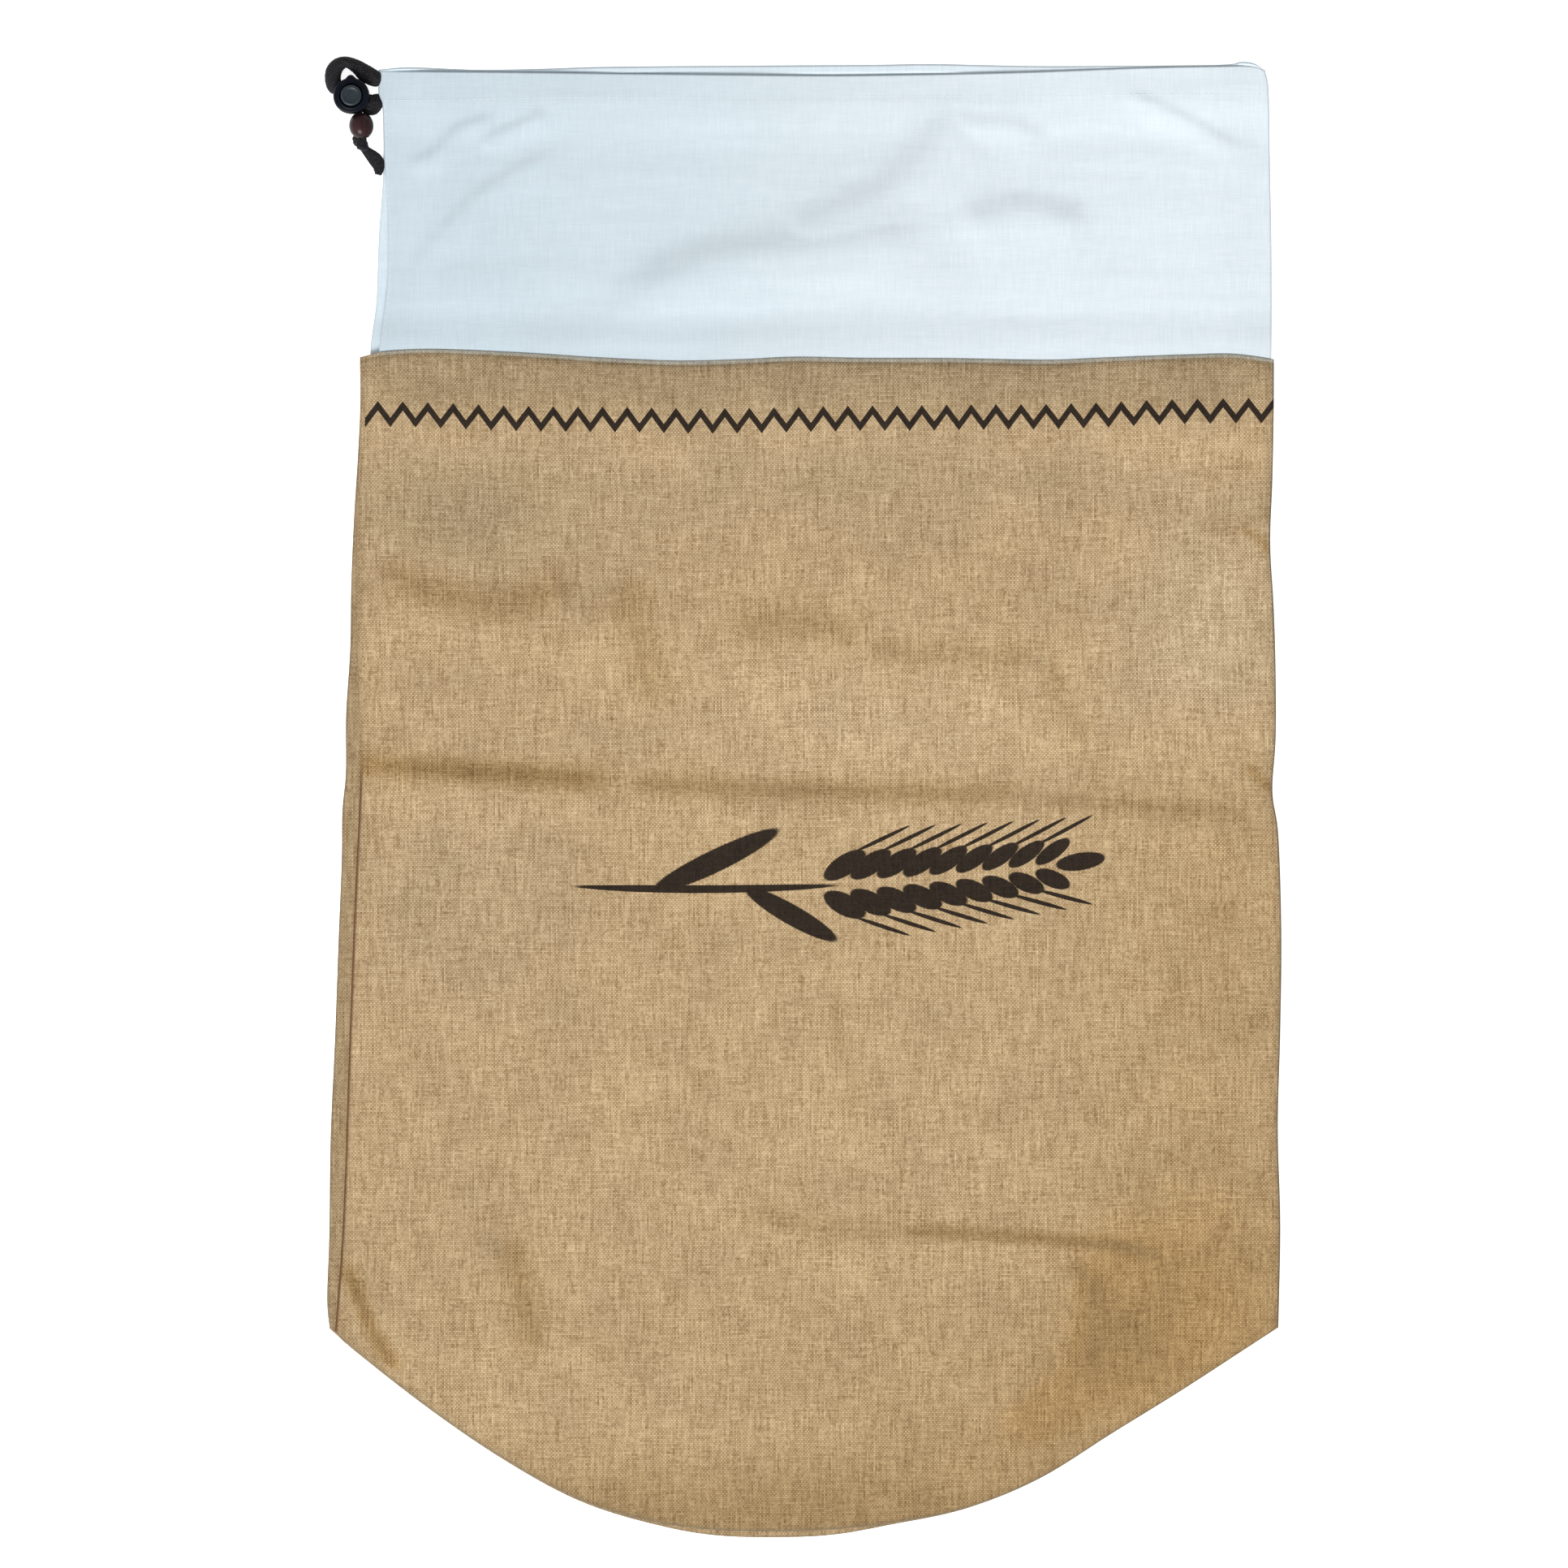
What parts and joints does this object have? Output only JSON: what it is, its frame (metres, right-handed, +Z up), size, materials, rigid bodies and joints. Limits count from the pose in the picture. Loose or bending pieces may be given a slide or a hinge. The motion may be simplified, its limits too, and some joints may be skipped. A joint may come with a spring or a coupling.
{
  "type": "drawstring food storage bag",
  "caption": "Flat-lying linen bag with a shield-shaped bottom, a white cotton drawstring collar, a braided cord, a push-button cord lock and a bead.",
  "frame": {"origin": "on the floor, in the middle of the bounding box of the bag's cloth as it lies flat", "axes": "+Y from the bag's bottom towards its mouth and collar, +X to the right as seen from above, +Z up"},
  "size_m": [0.353, 0.5475, 0.01],
  "materials": {
    "linen": "plain weave, brown, undyed look",
    "cotton": "thin plain weave, cool white",
    "braid": "black soft braid",
    "lock_plastic": "black, satin",
    "bead_lacquer": "dark red-brown, glossy"
  },
  "bodies": {
    "bag": {"front_panel": "linen", "back_panel": "linen", "collar_front": "cotton", "collar_back": "cotton", "cord_loop": "braid", "cord_return": "braid", "cord_drop": "braid", "cord_tail": "braid", "knot": "braid", "bead": "bead_lacquer", "lock_body": "lock_plastic"},
    "button": {"lock_button": "lock_plastic"}
  },
  "joints": [
    {"name": "button_press", "type": "slide", "parent": "bag", "child": "button", "axis": [0, 0, -1], "range_m": [0, 0.003], "stiffness_N_per_m": 300, "springref_m": -0.002}
  ]
}
